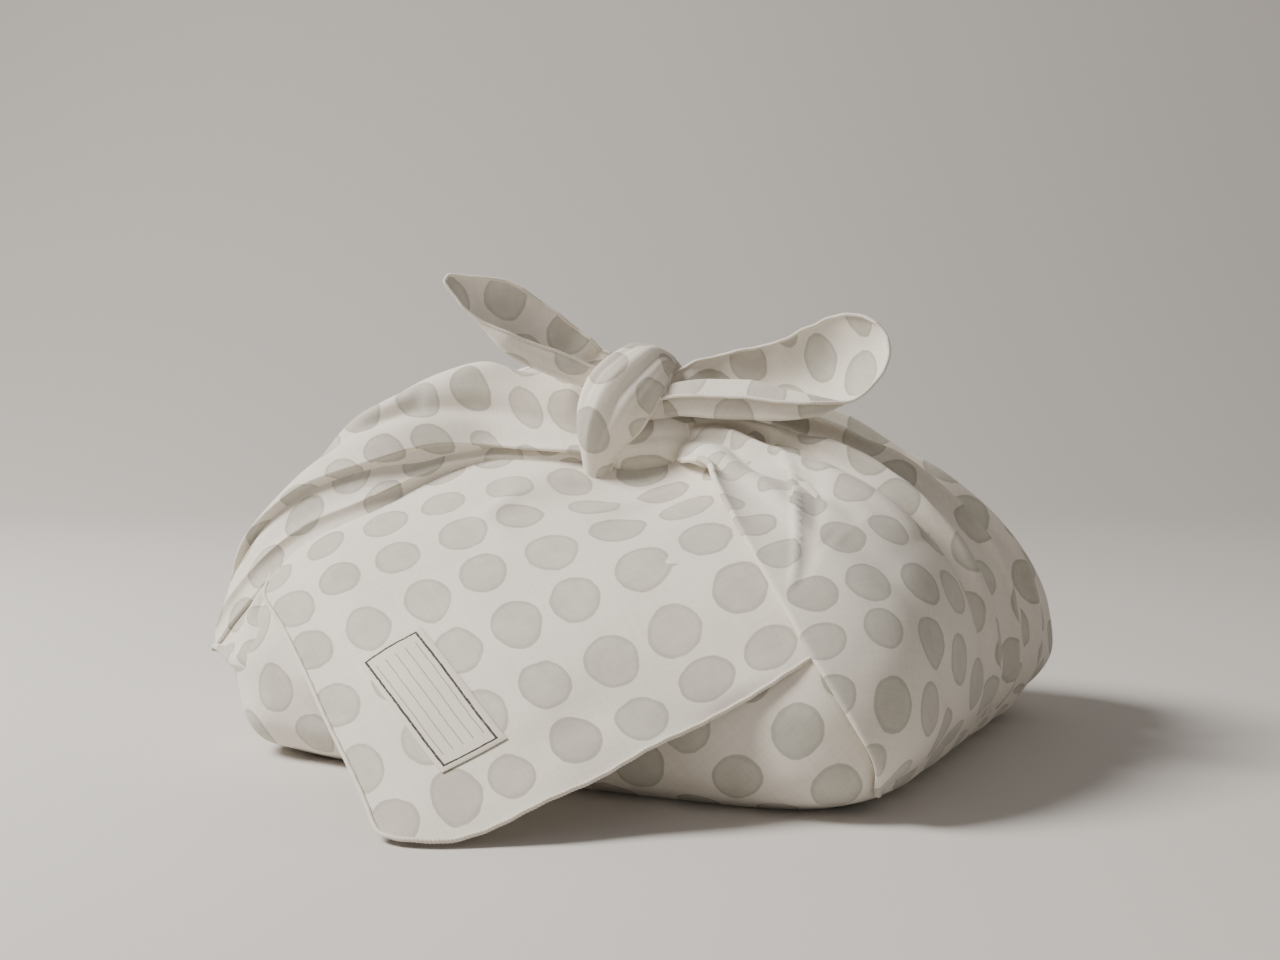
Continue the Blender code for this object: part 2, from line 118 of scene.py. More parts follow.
# Folds of a gathered end: from the knot outwards by row, across it as a share, how high, how wide in
# millimetres, and how far each leans over towards the front edge for every millimetre of its height.
Fold = namedtuple("Fold", "from_row to_row at_start at_end height width lean")
LEFT_FOLDS = (
    Fold(0.1, 8.6, 0.045, 0.05, 2.0, 3.0, 0.6),
    Fold(0.2, 4.2, 0.20, 0.24, -2.6, 5.0, 0.0),
    Fold(0.2, 8.6, 0.40, 0.36, 3.0, 7.0, 0.6),
    Fold(0.5, 8.6, 0.52, 0.44, -4.0, 7.0, 0.0),
    Fold(0.5, 8.6, 0.62, 0.55, 4.5, 7.0, 0.5),
    Fold(1.0, 8.6, 0.80, 0.72, -3.0, 8.0, 0.0),
    Fold(1.0, 8.6, 0.88, 0.86, 3.0, 6.0, -0.5),
    Fold(0.8, 2.6, 0.40, 0.47, -2.6, 8.0, 0.0),
    Fold(3.2, 8.4, 0.25, 0.20, -2.2, 5.0, 0.0),
    Fold(3.4, 8.4, 0.29, 0.25, 2.2, 4.0, 0.9),
)
RIGHT_FOLDS = (
    Fold(0.2, 4.4, 0.16, 0.17, 2.6, 5.0, 0.5),
    Fold(2.1, 4.5, 0.46, 0.02, 2.4, 2.4, 0.7),
    Fold(2.3, 4.6, 0.52, 0.08, -1.4, 6.0, 0.0),
    Fold(0.2, 4.6, 0.28, 0.27, -2.6, 4.5, 0.0),
    Fold(0.2, 5.4, 0.37, 0.36, 3.8, 4.5, 0.7),
    Fold(0.3, 8.4, 0.45, 0.40, -4.0, 3.6, 0.0),
    Fold(0.2, 8.6, 0.51, 0.45, 5.0, 3.6, 1.0),
    Fold(0.5, 8.8, 0.58, 0.52, -4.0, 3.6, 0.0),
    Fold(0.3, 8.8, 0.65, 0.58, 5.2, 3.8, 1.0),
    Fold(0.5, 8.8, 0.73, 0.67, -4.0, 4.2, 0.0),
    Fold(0.5, 8.8, 0.80, 0.74, 4.6, 4.2, 0.9),
    Fold(0.5, 8.8, 0.91, 0.90, 2.6, 6.0, 0.5),
    Fold(4.6, 8.9, 0.20, 0.24, -1.6, 7.0, 0.0),
)
# The left end is doubled along its front: the edge of the upper layer, as a share of the way across, by row.
LEFT_ROLL = (0.03, 0.05, 0.07, 0.11, 0.13, 0.14, 0.13, 0.11, 0.08, 0.04)
# Where the lower layer's edge comes down to the bundle below the last rows, and how far it is held there.
Closing = namedtuple("Closing", "row held x y z")
LEFT_CLOSING = (
    Closing(0, 0, -118, -107, 53),
    Closing(5.2, 0, -118, -107, 53),
    Closing(6, 1, -117, -108, 52),
    Closing(6.8, 1, -109, -114, 46),
    Closing(7.3, 1, -107, -116, 42),
    Closing(7.8, 1, -112, -118, 33),
    Closing(9, 1, -114, -118, 30),
)
POUCH_END = 7.75
APART_UNTIL = 6.6  # the row up to which the left end's two layers are apart, and the rows in which they meet
APART_FADE = 1.3
LIP_COLUMNS = 34  # how far from its front edge the upper layer turns in to the bundle
# The cloth dips in front of the knot's foot.
HOLLOW_AT = np.array((19.0, -45.0))
HOLLOW_DEPTH = 11.0
HOLLOW_WIDTH = 27.0

FlapRow = namedtuple("FlapRow", "from_tip hx hy hz ex ey ez bow arch")
FLAP_WIDTH = 185.0
CORNER_UP = 22.0  # the tip's rounding, along the left hem and along the lower hem
CORNER_OVER = 58.0
FLAP_GAP = 1.8
FLAP_STEPS = 130
FLAP_HEM_END = 118  # the column at which the lower hem goes out of sight behind the right end
FLAP = (
    FlapRow(0, 10, -209, -7.5, 122, -83, 58, 3, 0),
    FlapRow(44, -20, -183, 12, 110, -70, 74, 11, -2),
    FlapRow(79, -45, -163.5, 26.5, 92, -50, 94, 13, 0),
    FlapRow(114, -70, -142.5, 40, 68, -30, 108, 9, 0),
    FlapRow(149, -96, -120, 52, 44, -10, 120, 3, 0),
    FlapRow(179, -119, -98, 62, 24, 4, 124, 0, 0),
    FlapRow(204, -117, -74, 64, 8, 14, 124, 0, 0),
)
FLAP_SPREAD = 1.15
PRINT_SHORTER = 0.68  # the dots low on the flap are printed longer than wide
LABEL_LENGTH = 73.0
LABEL_WIDTH = 27.0
LABEL_UP = 73.5
LABEL_OVER = 38.0
LABEL_TURN = math.radians(8)

# The knot and its free ends have a frame of their own, turned about the vertical: aside is to the viewer's
# right, near is towards the viewer, and turn is the heading of a section's width, from aside towards up.
KNOT = np.array((5.0, -20.0, 130.0))
KNOT_TURN = math.radians(25.2)
Strand = namedtuple("Strand", "aside up near wide thick turn")
OVER_STRAND = (
    Strand(13, 10, -9, 14, 12, -60),
    Strand(10, 18, -5, 17, 11, -48),
    Strand(4, 20, 3, 21, 13, -28),
    Strand(-1, 16, 9, 25, 15, -18),
    Strand(-8, 8, 13, 28, 17, -8),
    Strand(-12, 0, 15, 26, 16, -3),
    Strand(-15, -8, 14.5, 20, 14, 0),
    Strand(-16.5, -17, 12.5, 13, 11, 0),
    Strand(-17.5, -25, 10, 8, 8, 0),
    Strand(-17, -29, 7, 3, 4, 0),
)
CROSS_STRAND = (
    Strand(-16, -12, -4, 14, 12, 90),
    Strand(-13, -13, 4, 18, 13, 90),
    Strand(-3, -13, 9, 21, 14, 90),
    Strand(8, -12, 10, 21, 14, 88),
    Strand(17, -11, 5, 20, 13, 84),
    Strand(21, -10, -4, 18, 12, 84),
    Strand(20, -9, -12, 14, 12, 84),
)
StrandCrease = namedtuple("StrandCrease", "at_start at_end start end height width")
OVER_CREASES = (
    StrandCrease(60, 110, 0.0, 0.75, -0.15, 8),
    StrandCrease(85, 140, 0.05, 0.8, 0.09, 8),
    StrandCrease(30, 70, 0.1, 0.9, -0.12, 9),
    StrandCrease(120, 165, 0.0, 0.6, -0.11, 8),
    StrandCrease(8, 20, 0.2, 1.0, 0.08, 10),
)
CROSS_CREASES = (
    StrandCrease(60, 80, 0.2, 0.9, -0.06, 9),
    StrandCrease(100, 110, 0.1, 0.8, -0.05, 8),
    StrandCrease(130, 120, 0.3, 1.0, 0.04, 8),
)

KNOT_HEART = ((0, 1, -2), (19, 13, 21))
# Where the right end comes out of the crossing strand: its front edge, its ridge and its back edge.
THROAT = ((18, -20, 8), (18, -1, 0), (17, -14, -12))
THROAT_ROWS = 0.95
RIGHT_STEPS = 150

EndRow = namedtuple("EndRow", "aside up near width turn cup cuff")
LEFT_TIP = (
    EndRow(-12, 16, 0, 12, 59, 0, 3),
    EndRow(-20, 19, 2, 16, 59, 2, 7),
    EndRow(-30, 24.5, 3, 20, 59, 3, 8),
    EndRow(-44, 33, 4, 23, 59, 4, 6),
    EndRow(-55, 41.5, 5, 21, 60, 4, 2),
    EndRow(-66, 47.5, 6, 13, 62, 2, 0),
    EndRow(-76, 53, 6, 3, 62, 0, 0),
)
RIGHT_TIP = (
    EndRow(6, 6, 3, 12, 84, 0, 4),
    EndRow(17, 9, 8, 18, 88, 3, 10),
    EndRow(30, 11, 12, 23, 92, 6, 12),
    EndRow(44, 12.5, 17, 26, 94, 8, 12),
    EndRow(56, 14, 22, 29, 96, 9, 9),
    EndRow(67, 17.5, 26, 32, 100, 9, 4),
    EndRow(76, 21.5, 29, 32, 104, 7, 0),
    EndRow(83, 26, 32, 28, 107, 5, 0),
    EndRow(89, 30.5, 34, 18, 109, 3, 0),
    EndRow(91, 32.5, 35, 8, 110, 1, 0),
)

# Creases on the flap: from one place to another as distances from the left hem and from the tip.
Crease = namedtuple("Crease", "over0 up0 over1 up1 height width")
FLAP_CREASES = (
    Crease(150, 137, 118, 131, 2.4, 7.0),
    Crease(140, 159, 105, 147, -3.4, 10.0),
    Crease(104, 157, 84, 147, 1.6, 4.0),
    Crease(84, 147, 92, 131, 1.2, 4.0),
    Crease(30, 169, 24, 114, 1.2, 9.0),
    Crease(8, 139, 30, 79, -1.0, 9.0),
    Crease(60, 39, 110, 74, 1.0, 12.0),
    Crease(120, 39, 90, 109, -0.8, 12.0),
)

# Where the dots of each panel fall: turned by so many degrees, then moved.
Print = namedtuple("Print", "turn along across")
PRINTS = {
    "flap": Print(0, -3.6, -12.4),
    "front": Print(45, 0, 0),
    "back": Print(45, 5, 9),
    "left_end": Print(20, 3, 7),
    "left_strip": Print(28, 9, 5),
    "right_end": Print(30, 8, 2),
    "knot": Print(10, 0, 0),
    "tips": Print(40, 0, 0),
}


def smooth(places, values, at):
    places = np.asarray(places, float)
    values = np.asarray(values, float)
    steps = np.diff(places)
    slopes = np.diff(values) / steps
    tangents = np.empty_like(values)
    tangents[0] = slopes[0]
    tangents[-1] = slopes[-1]
    same_way = slopes[1:] * slopes[:-1] > 0
    mean = 2 * slopes[1:] * slopes[:-1] / np.where(same_way, slopes[1:] + slopes[:-1], 1)
    tangents[1:-1] = np.where(same_way, mean, 0)
    at = np.clip(at, places[0], places[-1])
    k = np.clip(np.searchsorted(places, at, side="right") - 1, 0, len(steps) - 1)
    t = (at - places[k]) / steps[k]
    start = (1 + 2 * t) * (1 - t) ** 2 * values[k]
    end = t * t * (3 - 2 * t) * values[k + 1]
    lean_out = t * (1 - t) ** 2 * steps[k] * tangents[k]
    lean_in = t * t * (t - 1) * steps[k] * tangents[k + 1]
    return start + end + lean_out + lean_in


def table_at(rows, places, at):
    columns = np.array(rows, float).T
    return np.stack([smooth(places, column, at) for column in columns], -1)


def smooth_lines(places, lines, at):
    flat = lines.reshape(len(places), -1).T
    columns = [smooth(places, column, at) for column in flat]
    return np.stack(columns).reshape(*lines.shape[1:], len(at)).transpose(0, 2, 1)


def core_radius(direction, height):
    columns = np.array(LEVELS, float).T
    left, right, front, back, squareness = (smooth(columns[0], column, height) for column in columns[1:])
    along = np.cos(direction)
    across = np.sin(direction)
    half_length = np.where(along > 0, right, left)
    half_depth = np.where(across > 0, back, front)
    sides = np.abs(along / half_length) ** squareness + np.abs(across / half_depth) ** squareness
    return sides ** (-1 / squareness)


def core_height(direction, distance):
    heights = np.linspace(BELLY, LEVELS[-1].height, 60)
    found = np.zeros_like(distance)
    for low, high in zip(heights[:-1], heights[1:]):
        outer = core_radius(direction, low)
        inner = core_radius(direction, high)
        here = (distance <= outer) & (distance > inner)
        share = (outer - distance) / np.maximum(outer - inner, 1e-9)
        found = np.where(here, low + share * (high - low), found)
    inmost = core_radius(direction, heights[-1])
    return np.where(distance <= inmost, heights[-1], found)


def lifted(points, gap):
    points = points.copy()
    for _ in range(3):
        offset = points[..., :2] - AXIS
        distance = np.hypot(offset[..., 0], offset[..., 1])
        direction = np.arctan2(offset[..., 1], offset[..., 0])
        height = np.clip(points[..., 2], 0, LEVELS[-1].height)
        side = core_radius(direction, height) + gap - distance
        above = core_height(direction, np.maximum(distance - gap, 0)) + gap - points[..., 2]
        inside = (side > 0) & (above > 0)
        side = np.where(inside, side, 1)
        above = np.where(inside, above, 1)
        flat = 1 / side
        upward = 1 / above
        push = inside / (flat**2 + upward**2)
        out = offset / np.maximum(distance, 1e-6)[..., None]
        points[..., :2] += out * (flat * push)[..., None]
        points[..., 2] += upward * push
    return points


def evened(points, passes):
    """A grid of points smoothed, its rim along itself only."""
    points = points.copy()
    for _ in range(passes):
        inner = points[1:-1, 1:-1]
        around = points[:-2, 1:-1] + points[2:, 1:-1] + points[1:-1, :-2] + points[1:-1, 2:]
        rim = [points[0], points[-1], points[:, 0], points[:, -1]]
        eased = [0.5 * line[1:-1] + 0.25 * (line[:-2] + line[2:]) for line in rim]
        points[1:-1, 1:-1] = 0.4 * inner + 0.15 * around
        points[0, 1:-1], points[-1, 1:-1], points[1:-1, 0], points[1:-1, -1] = eased
    return points


def unit(vectors):
    return vectors / np.maximum(np.linalg.norm(vectors, axis=-1), 1e-9)[..., None]


def grid_normals(points):
    return unit(np.cross(np.gradient(points, axis=0), np.gradient(points, axis=1)))


def outward(points, normals):
    facing = np.sum((points - MIDDLE) * normals)
    return normals * (-1 if facing < 0 else 1)


def arcs_across(points):
    """How far each point of a grid is along its row."""
    steps = np.linalg.norm(np.diff(points, axis=1), axis=-1)
    return np.concatenate([np.zeros((len(points), 1)), np.cumsum(steps, axis=1)], axis=1)


def flattened(points, start, passes):
    """Cloth coordinates of a grid: the flat grid whose short lengths are those of the folded one."""
    flat = start.astype(float).copy()
    ends = (
        (np.s_[:-1, :], np.s_[1:, :]),
        (np.s_[:, :-1], np.s_[:, 1:]),
        (np.s_[:-1, :-1], np.s_[1:, 1:]),
        (np.s_[:-1, 1:], np.s_[1:, :-1]),
    )
    lengths = [np.linalg.norm(points[a] - points[b], axis=-1) for a, b in ends]
    for _ in range(passes):
        for (a, b), length in zip(ends, lengths):
            between = flat[b] - flat[a]
            now = np.maximum(np.linalg.norm(between, axis=-1), 1e-6)
            fix = 0.22 * (1 - length / now)[..., None] * between
            flat[a] += fix
            flat[b] -= fix
    return flat


def by_arcs(points):
    """A first guess at a grid's cloth coordinates, from the lengths of its middle line and of its rows."""
    middle = points.shape[1] // 2
    along = np.concatenate([[0], np.cumsum(np.linalg.norm(np.diff(points[:, middle], axis=0), axis=-1))])
    across = arcs_across(points)
    across -= across[:, middle : middle + 1]
    return np.stack([np.broadcast_to(along[:, None], across.shape), across], -1)


def printed(flat, name):
    """Cloth coordinates turned and moved to where the print falls."""
    turn, along, across = PRINTS[name]
    c, s = math.cos(math.radians(turn)), math.sin(math.radians(turn))
    turned = flat @ np.array(((c, s), (-s, c)))
    return turned + (along, across)


def waves(x, y, seed):
    """Soft unevenness, from -1 to 1."""
    rng = np.random.default_rng(seed)
    total = np.zeros(np.broadcast(x, y).shape)
    for _ in range(7):
        heading = rng.uniform(0, math.pi)
        length = rng.uniform(28, 75)
        phase = rng.uniform(0, 2 * math.pi)
        total += np.sin(2 * math.pi * (x * math.cos(heading) + y * math.sin(heading)) / length + phase)
    return total / 5


class Sheet:
    """Grids gathered into one mesh with cloth coordinates."""

    def __init__(self):
        self.points = []
        self.faces = []
        self.flat = []
        self.count = 0

    def grid(self, points, flat, closed=False):
        rows, columns = points.shape[:2]
        index = np.arange(rows * columns).reshape(rows, columns) + self.count
        if closed:
            index = np.concatenate([index, index[:, :1]], axis=1)
        quads = np.stack([index[:-1, :-1], index[:-1, 1:], index[1:, 1:], index[1:, :-1]], -1)
        if flat.shape[1] == index.shape[1]:
            across = flat
        else:
            across = np.concatenate([flat, flat[:, :1]], axis=1)
        corners = np.stack([across[:-1, :-1], across[:-1, 1:], across[1:, 1:], across[1:, :-1]], -2)
        self.points.append(points.reshape(-1, 3))
        self.faces.append(quads.reshape(-1, 4))
        self.flat.append(corners.reshape(-1, 2))
        self.count += rows * columns

    def object(self, name, material):
        data = bpy.data.meshes.new(name)
        points = np.concatenate(self.points) * MM
        faces = np.concatenate(self.faces)
        data.from_pydata(points.tolist(), [], faces.tolist())
        layer = data.uv_layers.new(name="Cloth")
        layer.data.foreach_set("uv", (np.concatenate(self.flat) * MM).ravel())
        data.polygons.foreach_set("use_smooth", np.ones(len(faces), bool))
        data.materials.append(material)
        data.update()
        made = bpy.data.objects.new(name, data)
        bpy.context.scene.collection.objects.link(made)
        return made


def relaxed(points, passes, gap):
    for _ in range(passes):
        inner = points[1:-1, 1:-1]
        around = points[:-2, 1:-1] + points[2:, 1:-1] + points[1:-1, :-2] + points[1:-1, 2:]
        points[1:-1, 1:-1] = 0.4 * inner + 0.15 * around
        points = lifted(points, gap)
    return points


def finer(grid, rows, columns):
    """A grid with more rows and columns, on smooth curves through the old ones."""

    def weights(old, new):
        at = np.linspace(0, old - 1, new)
        k = np.minimum(at.astype(int), old - 2)
        t = at - k
        table = np.zeros((new, old))
        shares = (
            (-1, -0.5 * t + t**2 - 0.5 * t**3),
            (0, 1 - 2.5 * t**2 + 1.5 * t**3),
            (1, 0.5 * t + 2 * t**2 - 1.5 * t**3),
            (2, -0.5 * t**2 + 0.5 * t**3),
        )
        for step, share in shares:
            np.add.at(table, (np.arange(new), np.clip(k + step, 0, old - 1)), share)
        return table

    down = weights(grid.shape[0], rows)
    over = weights(grid.shape[1], columns)
    return np.einsum("ia,jb,abk->ijk", down, over, grid)


def flap_coarse(steps=22):
    length = FLAP[-1].from_tip
    spread = np.linspace(0, 1, steps) ** FLAP_SPREAD
    up, over = np.meshgrid(spread * length, spread * FLAP_WIDTH, indexing="ij")
    a = (up - CORNER_UP) / CORNER_UP
    b = (over - CORNER_OVER) / CORNER_OVER
    near = (a < 0) & (b < 0)
    share = np.where(near, np.maximum(np.abs(a), np.abs(b)) / np.maximum(np.hypot(a, b), 1e-9), 1)
    up = CORNER_UP * (1 + a * share)
    over = CORNER_OVER * (1 + b * share)
    row = table_at(FLAP, [row.from_tip for row in FLAP], up)
    share = over / FLAP_WIDTH
    points = row[..., 1:4] * (1 - share[..., None]) + row[..., 4:7] * share[..., None]
    points[..., 1] -= row[..., 7] * 4 * share * (1 - share)
    points[..., 2] += row[..., 8] * 4 * share * (1 - share)
    points[..., 2] = np.maximum(points[..., 2], 2.0)
    points = relaxed(lifted(points, FLAP_GAP), 6, FLAP_GAP)
    return points, np.stack([over, up], -1)


def flap_grid(steps):
    points, place = flap_coarse()
    points = evened(finer(points, steps, steps), 14)
    place = finer(place, steps, steps)
    over, up = place[..., 0], place[..., 1]
    normals = outward(points, grid_normals(points))
    relief = np.zeros(up.shape)
    for crease in FLAP_CREASES:
        start = np.array((crease.over0, crease.up0))
        line = np.array((crease.over1, crease.up1)) - start
        away = place - start
        share = np.clip((away @ line) / (line @ line), 0, 1)
        off = np.linalg.norm(away - share[..., None] * line, axis=-1)
        fade = np.sin(math.pi * (0.12 + 0.76 * share))
        relief += crease.height * np.exp(-((off / crease.width) ** 2)) * fade
    free = np.exp(-np.minimum(up, over) / 22)
    relief += 0.5 * waves(over, up, 3) + 0.7 * free * np.sin(2 * math.pi * (over + 0.6 * up) / 43)
    points = hollowed(points + relief[..., None] * normals)
    points[..., 2] = np.maximum(points[..., 2], 1.2)
    flat = flattened(points, place, 150)
    fall = np.clip((up + 0.5 * over - 129) / 50, 0, 1)
    share = PRINT_SHORTER + (1 - PRINT_SHORTER) * fall**2 * (3 - 2 * fall)
    steps_up = np.diff(flat[..., 1], axis=0) * (share[1:] + share[:-1]) / 2
    printed_up = flat[:1, :, 1] * PRINT_SHORTER + np.cumsum(steps_up, axis=0)
    flat[1:, :, 1] = printed_up
    flat[0, :, 1] *= PRINT_SHORTER
    return points, flat


def gather_grid(rows, folds, steps_along, steps_across):
    along = np.linspace(0, len(rows) - 1, steps_along)
    row = table_at(rows, range(len(rows)), along)
    across = np.linspace(0, 1, steps_across) ** EDGE_EASE
    lines = row.reshape(steps_along, 3, 3).transpose(1, 0, 2)
    points = smooth_lines((0, RIDGE_AT, 1), lines, across)
    last = np.clip((along - (len(rows) - 2)), 0, 1)[:, None]
    gap = FAN_GAP - END_TUCK * last**2 + 0 * across[None, :]
    points = evened(lifted(points, gap), 8)
    points = lifted(points, gap)
    points = evened(points, 3)
    normals = outward(points, grid_normals(points))
    inward = unit(np.gradient(points, axis=1))
    place = arcs_across(points)
    whole = place[:, -1:]
    shift = np.zeros_like(points)
    rng = np.random.default_rng(5)
    for fold in folds:
        share = np.clip((along - fold.from_row) / (fold.to_row - fold.from_row), 0, 1)[:, None]
        wander = rng.uniform(1.5, 3.0) * np.sin(2 * math.pi * (share * rng.uniform(0.7, 1.5) + rng.uniform()))
        middle = (fold.at_start + share * (fold.at_end - fold.at_start)) * whole + wander * share
        room = np.minimum(1, whole / 90)
        fade = np.sin(math.pi * share) ** 0.45 * (0.45 + 0.55 * room)
        height = fold.height * fade * np.exp(-(((place - middle) / (fold.width * (0.5 + 0.5 * room))) ** 2))
        shift += height[..., None] * normals - (fold.lean * height)[..., None] * inward
    rough = 0.7 * waves(place, 12 * along[:, None], 11 + len(folds))
    points = points + shift + rough[..., None] * normals
    return points


def on_core(points, gap):
    """Points moved along their line to the middle of the bundle until they are a gap outside the core."""
    low = np.full(points.shape[:-1], 0.3)
    high = np.full(points.shape[:-1], 1.4)
    for _ in range(18):
        share = (low + high) / 2
        at = MIDDLE + share[..., None] * (points - MIDDLE)
        offset = at[..., :2] - AXIS
        distance = np.hypot(offset[..., 0], offset[..., 1])
        direction = np.arctan2(offset[..., 1], offset[..., 0])
        height = np.clip(at[..., 2], 0, LEVELS[-1].height)
        inside = (distance < core_radius(direction, height)) & (at[..., 2] < LEVELS[-1].height)
        low = np.where(inside, share, low)
        high = np.where(inside, high, share)
    at = MIDDLE + low[..., None] * (points - MIDDLE)
    return at + gap * unit(points - MIDDLE)


def hollowed(points):
    points = points.copy()
    off = np.linalg.norm(points[..., :2] - HOLLOW_AT, axis=-1)
    points[..., 2] -= HOLLOW_DEPTH * np.exp(-((off / HOLLOW_WIDTH) ** 2)) * (points[..., 2] > 60)
    return points


def turned_under(points, first, radius, reach, target=0.0, held=0.0, swell=0.0, steps=12, turn_steps=6):
    """Columns that carry a folded edge round and back under the layer, down to what it lies on."""
    edge = points[:, 0] if first else points[:, -1]
    inner = points[:, 2] if first else points[:, -3]
    normals = outward(points, grid_normals(points))
    normal = normals[:, 0] if first else normals[:, -1]
    out = edge - inner
    out -= np.sum(out * normal, axis=-1)[:, None] * normal
    out = unit(out)
    columns = []
    for angle in np.linspace(0, math.pi, turn_steps)[1:]:
        columns.append(edge + radius * (math.sin(angle) * out - (1 - math.cos(angle)) * normal))
    start = columns[-1]
    end = hollowed(on_core((1 - held) * (edge - reach * out) + held * target, 0.6 - 2.2 * held))
    bulge = swell * unit(edge - MIDDLE)
    for share in np.linspace(0, 1, steps)[1:]:
        columns.append(start + share * (end - start) + math.sin(math.pi * share**2) * bulge)
    strip = np.stack(columns, axis=1)
    if first:
        return np.concatenate([strip[:, ::-1], points], axis=1)
    return np.concatenate([points, strip], axis=1)


def cut(points, start, end, columns):
    """The part of a grid between two shares of the way across, which may differ from row to row."""
    place = arcs_across(points)
    kept = np.empty((len(points), columns, 3))
    for k, line in enumerate(points):
        at = (start[k] + (end[k] - start[k]) * np.linspace(0, 1, columns) ** EDGE_EASE) * place[k, -1]
        kept[k] = np.stack([np.interp(at, place[k], line[:, i]) for i in range(3)], -1)
    return kept


def raised(points, height, reach):
    """A grid whose first column stands off what it lies on, as a folded edge does."""
    normals = outward(points, grid_normals(points))
    place = arcs_across(points)
    return points + (height * np.exp(-place / reach))[..., None] * normals


def closed_below(points, along, near):
    """Near its front edge a grid ends in a lip that turns in to the bundle."""
    k = np.searchsorted(along, POUCH_END)
    rim = points[k]
    foot = on_core(rim - (0, 0, 5), -2.0)
    share = ((along[k:] - along[k]) / (along[-1] - along[k]))[:, None, None]
    weight = near[None, :, None]
    points[k:] = (1 - weight) * points[k:] + weight * (rim + share * (foot - rim))
    return points


def left_layers():
    """The left end's lower layer, which shows as a strip along its front, and its upper layer."""
    whole = gather_grid(LEFT_END, LEFT_FOLDS, 130, 200)
    along = np.linspace(0, len(LEFT_END) - 1, len(whole))
    roll = smooth(range(len(LEFT_ROLL)), LEFT_ROLL, along)
    closing = table_at(LEFT_CLOSING, [row.row for row in LEFT_CLOSING], along)
    normals = outward(whole, grid_normals(whole))
    apart = (1 - np.clip((along - APART_UNTIL) / APART_FADE, 0, 1))[:, None]
    lower = cut(whole - (0.2 + 1.8 * apart[..., None]) * normals, 0 * roll, roll + 0.07, 40)
    upper = cut(whole, roll, 0 * roll + 1, 110)
    held = closing[:, 1:2]
    lower = turned_under(lower, True, 0.9, 12, closing[:, 2:], held, 5 * held)
    lower = closed_below(lower, along, np.ones(lower.shape[1]))
    upper = turned_under(raised(upper, 2.4 * apart, 12.0), True, 0.25 + 0.55 * apart, 8)
    upper = closed_below(upper, along, np.exp(-((np.arange(upper.shape[1]) / LIP_COLUMNS) ** 4)))
    return lower, turned_under(upper, False, 1.0, 10)


def core_grid(start, end, steps_around, steps_up):
    direction = np.linspace(start, end, steps_around)[None, :]
    share = np.linspace(0, 1, steps_up)[:, None]
    height = LEVELS[-1].height * (0.35 * share + 0.65 * share**1.6)
    radius = core_radius(direction + 0 * height, height + 0 * direction)
    points = np.stack(
        [
            AXIS[0] + radius * np.cos(direction),
            AXIS[1] + radius * np.sin(direction),
            height + 0 * direction,
        ],
        -1,
    )
    return points


def knot_frame():
    c, s = math.cos(KNOT_TURN), math.sin(KNOT_TURN)
    return np.array(((c, s, 0), (0, 0, 1), (s, -c, 0)))


def strand_rings(rows, steps_along, steps_round, creases=()):
    along = np.linspace(0, len(rows) - 1, steps_along)
    row = table_at(rows, range(len(rows)), along)
    frame = knot_frame()
    centre = row[:, 0:3] @ frame
    for _ in range(6):
        centre[1:-1] = 0.5 * centre[1:-1] + 0.25 * (centre[:-2] + centre[2:])
    forward = unit(np.gradient(centre, axis=0))
    turn = np.radians(row[:, 5])
    wide = np.stack([np.cos(turn), np.sin(turn), 0 * turn], -1) @ frame
    wide = unit(wide - np.sum(wide * forward, axis=-1)[:, None] * forward)
    thick = np.cross(forward, wide)
    thick *= np.where(thick @ frame[2] < 0, -1, 1)[:, None] if abs(np.mean(thick @ frame[2])) > 0.2 else 1
    angle = np.linspace(0, 2 * math.pi, steps_round, endpoint=False)
    ripple = np.ones((steps_along, steps_round))
    for crease in creases:
        share = along / along[-1]
        middle = math.radians(crease.at_start) + share * math.radians(crease.at_end - crease.at_start)
        off = (angle[None, :] - middle[:, None] + math.pi) % (2 * math.pi) - math.pi
        fade = np.sin(math.pi * np.clip((share - crease.start) / (crease.end - crease.start), 0, 1)) ** 0.6
        ripple += crease.height * fade[:, None] * np.exp(-((off / math.radians(crease.width)) ** 2))
    flat = 0.5 * row[:, 3, None] * np.cos(angle)[None, :] * ripple
    deep = 0.5 * row[:, 4, None] * np.sin(angle)[None, :] * ripple
    ring = flat[..., None] * wide[:, None, :]
    return KNOT + centre[:, None, :] + ring + deep[..., None] * thick[:, None, :]


